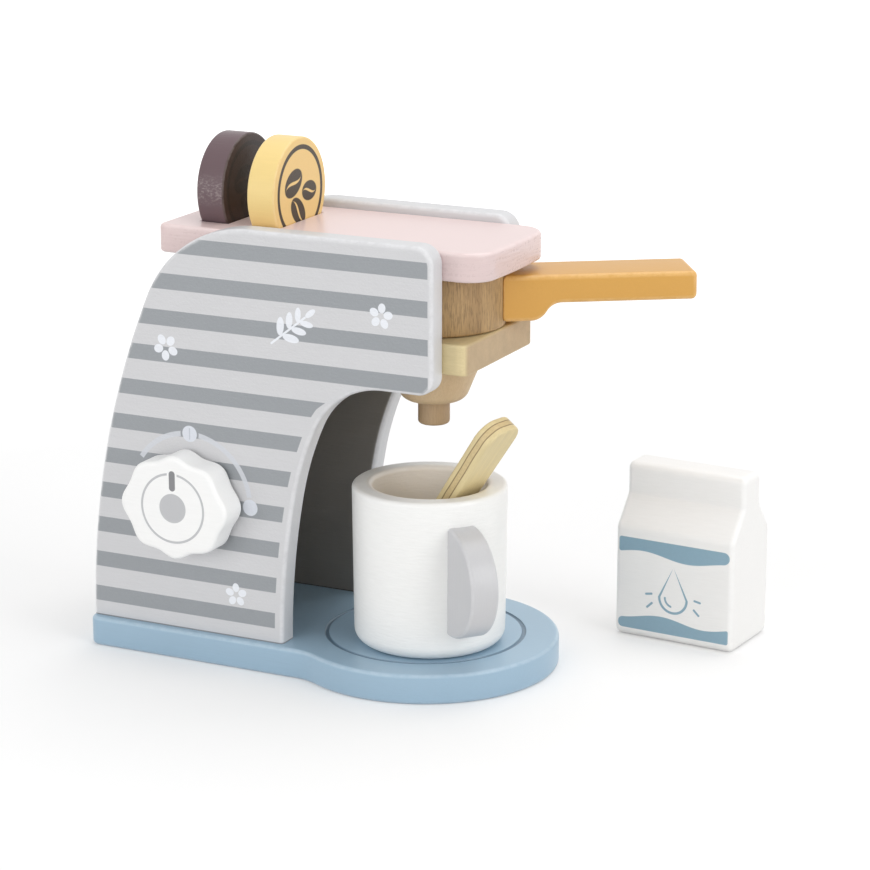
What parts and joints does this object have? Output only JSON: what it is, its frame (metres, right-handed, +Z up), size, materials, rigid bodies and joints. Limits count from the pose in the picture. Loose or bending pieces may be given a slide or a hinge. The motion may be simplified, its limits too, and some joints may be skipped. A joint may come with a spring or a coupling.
{
  "type": "toy coffee maker",
  "caption": "Wooden toy espresso machine with a swinging filter, a turning knob and coffee discs that lift out, with its cup, stirrer and milk carton.",
  "frame": {"origin": "on the underside of the base, below the centre of the round cup rest", "axes": "+Z up, +X to the front where the cup stands, +Y to the left, so the knob is on the -Y side"},
  "size_m": [0.2203, 0.1376, 0.1886],
  "materials": {
    "panel_paint": "satin light grey paint with printed darker grey stripes over wood",
    "base_paint": "satin blue paint over wood",
    "board_paint": "satin pale pink paint over wood",
    "inner_paint": "matt dark grey paint over wood",
    "pale_wood": "clear satin lacquer over pale wood",
    "turned_wood": "clear satin lacquer over turned wood",
    "brown_wood": "clear satin lacquer over brown wood with upright grain",
    "orange_paint": "satin ochre orange paint over wood",
    "dark_paint": "satin dark brown paint over wood",
    "yellow_paint": "satin pale yellow paint over wood with printed beans",
    "white_paint": "satin white paint over wood",
    "grey_paint": "satin light grey paint over wood",
    "carton_paint": "satin warm white paint over wood with printed blue bands",
    "plywood": "clear satin lacquer over three-layer plywood",
    "dowel_wood": "bare wood",
    "felt": "grey-white felt",
    "steel": "zinc-plated"
  },
  "bodies": {
    "machine": {"base_board": "base_paint", "knob_side_panel": "panel_paint", "plain_side_panel": "panel_paint", "back_board": "inner_paint", "top_board": "board_paint", "spout_block": "pale_wood", "spout_dome": "turned_wood", "spout": "turned_wood", "filter_pivot": "dowel_wood", "knob_washer": "felt", "panel_dowels": "dowel_wood", "base_screws": "steel"},
    "filter": {"filter_body": "brown_wood", "filter_handle": "orange_paint", "filter_dowel": "dowel_wood"},
    "knob": {"knob": "white_paint", "knob_axle": "dowel_wood", "knob_cap": "dowel_wood"},
    "dark_disc": {"dark_disc": "dark_paint"},
    "yellow_disc": {"yellow_disc": "yellow_paint"},
    "cup": {"cup_body": "white_paint", "cup_handle": "grey_paint", "cup_dowels": "dowel_wood"},
    "stirrer": {"stirrer": "plywood"},
    "milk_carton": {"milk_carton": "carton_paint"}
  },
  "joints": [
    {"name": "filter_swing", "type": "hinge", "parent": "machine", "child": "filter", "pos_m": [0.0034, 0, 0.134], "axis": [0, 0, 1], "range_deg": [-69, 2]},
    {"name": "knob_turn", "type": "hinge", "parent": "machine", "child": "knob", "pos_m": [-0.076, 0, 0.0606], "axis": [0, 1, 0], "continuous": true},
    {"name": "dark_disc_lift", "type": "slide", "parent": "machine", "child": "dark_disc", "axis": [0, 0, 1], "range_m": [0, 0.04]},
    {"name": "yellow_disc_lift", "type": "slide", "parent": "machine", "child": "yellow_disc", "axis": [0, 0, 1], "range_m": [0, 0.04]},
    {"name": "cup_slide", "type": "slide", "parent": "machine", "child": "cup", "axis": [1, 0, 0], "range_m": [0, 0.08]},
    {"name": "stirrer_lift", "type": "slide", "parent": "cup", "child": "stirrer", "axis": [0.551, -0.1111, 0.8271], "range_m": [0, 0.035]},
    {"name": "milk_carton_lift", "type": "slide", "parent": "machine", "child": "milk_carton", "axis": [0, 0, 1], "range_m": [0, 0.08]}
  ]
}
